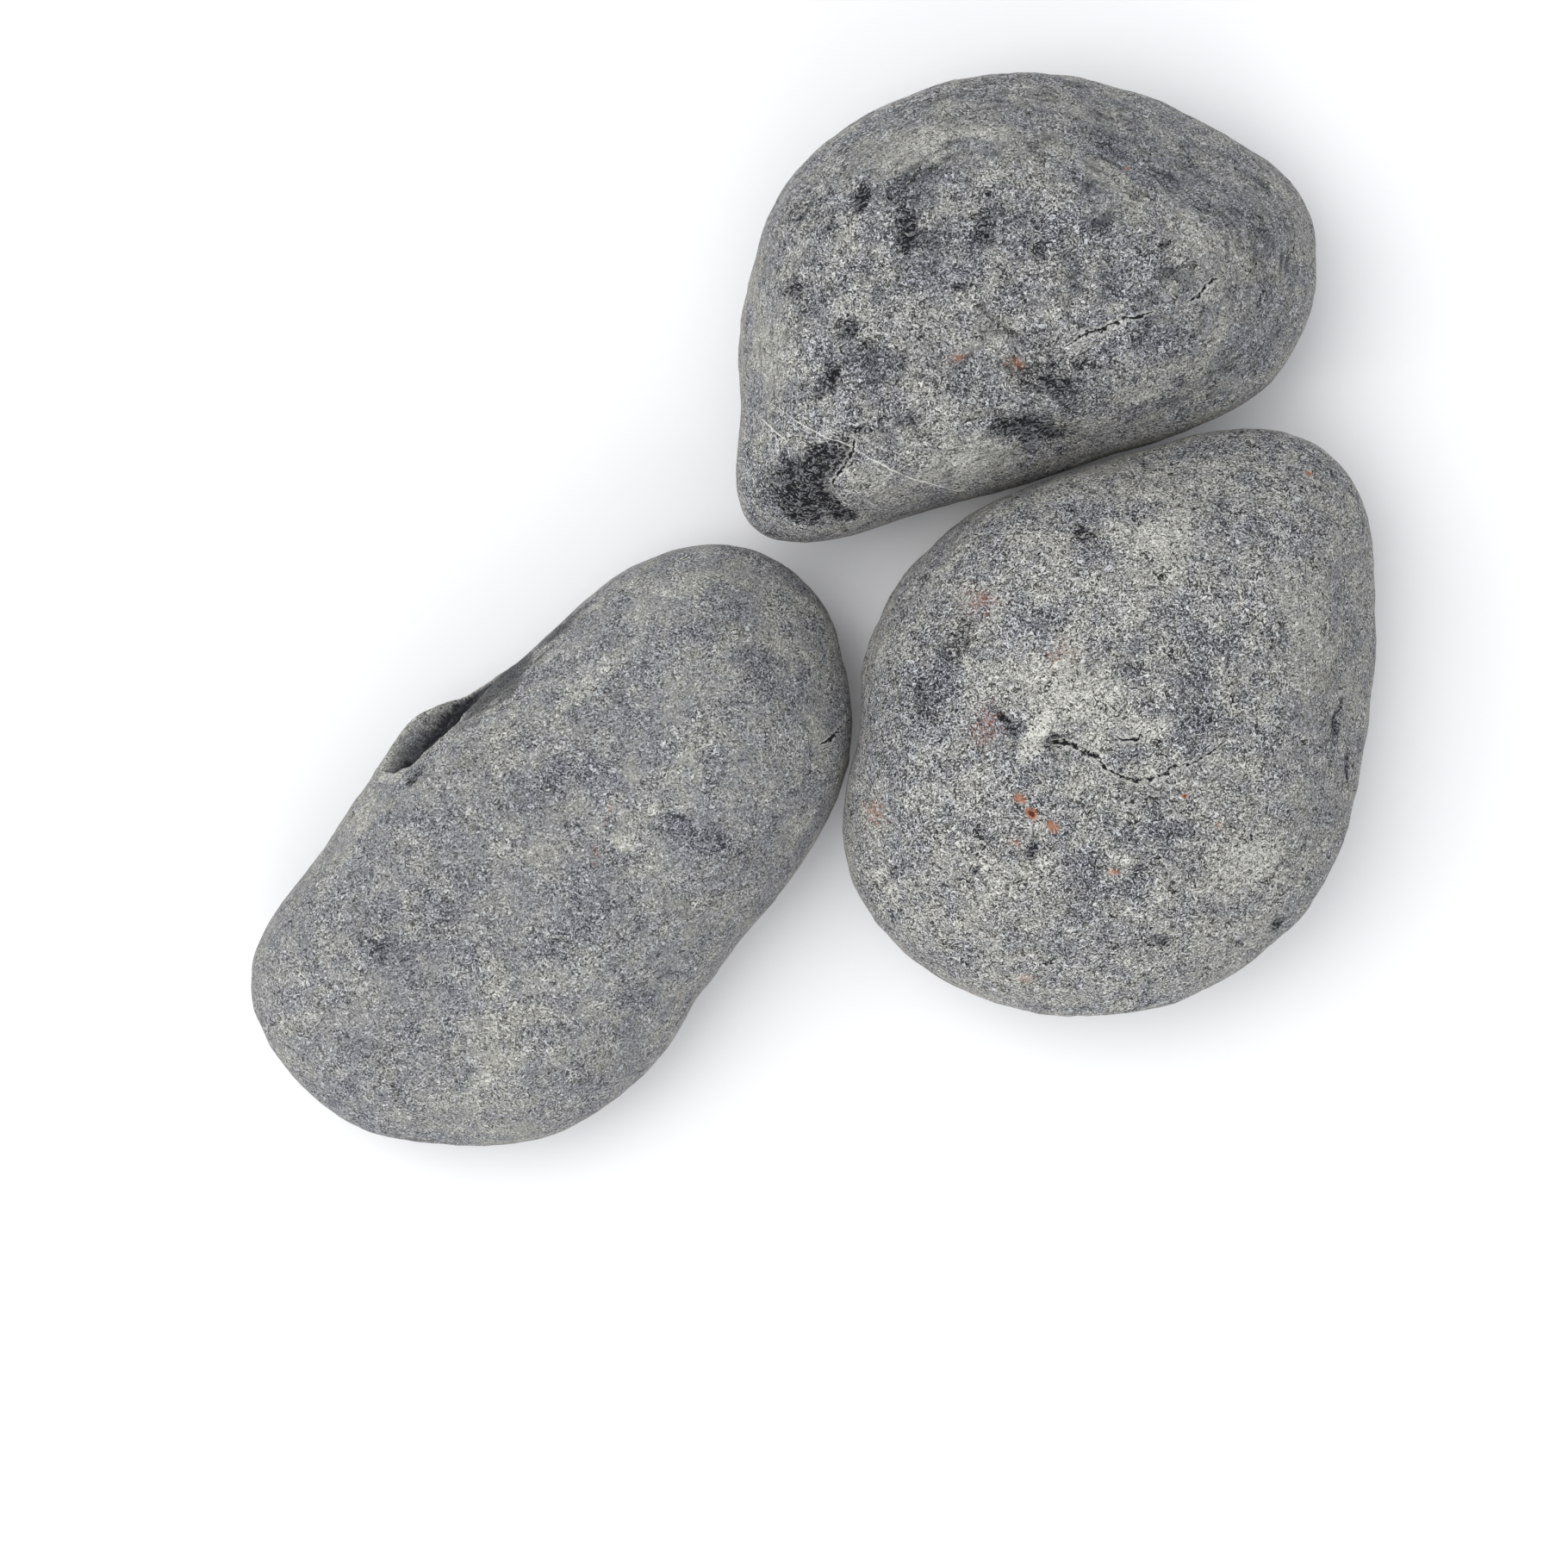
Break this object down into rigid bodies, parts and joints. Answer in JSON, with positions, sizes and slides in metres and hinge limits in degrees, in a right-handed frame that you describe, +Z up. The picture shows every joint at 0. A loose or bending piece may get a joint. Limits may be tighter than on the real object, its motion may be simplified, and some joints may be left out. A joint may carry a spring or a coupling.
{
  "type": "basalt massage stone set",
  "caption": "River-worn basalt massage pebbles, palm-sized and softly faceted, lying close together on their small flat soles, ready to be lifted off one by one for hot or cold massage.",
  "frame": {"origin": "on the surface the stones rest on, under the middle of the group's bounding box", "axes": "+Z up from the resting surface, the group's shortest way; +X the group's longest way, towards the broad stone; +Y towards the wedge stone"},
  "size_m": [0.1094, 0.1042, 0.027],
  "materials": {
    "broad_basalt": "river-worn matte grey basalt with a pale warm veil and a few rust spots",
    "wedge_basalt": "river-worn matte blue-grey basalt with dark pits and hairline white veins",
    "oval_basalt": "river-worn matte blue-grey basalt with one dark rough broken flake"
  },
  "bodies": {
    "broad": {"broad_stone": "broad_basalt"},
    "wedge": {"wedge_stone": "wedge_basalt"},
    "oval": {"oval_stone": "oval_basalt"}
  },
  "joints": [
    {"name": "lift_wedge", "type": "slide", "parent": "broad", "child": "wedge", "axis": [0, 0, 1], "range_m": [0, 0.06]},
    {"name": "lift_oval", "type": "slide", "parent": "broad", "child": "oval", "axis": [0, 0, 1], "range_m": [0, 0.06]}
  ]
}
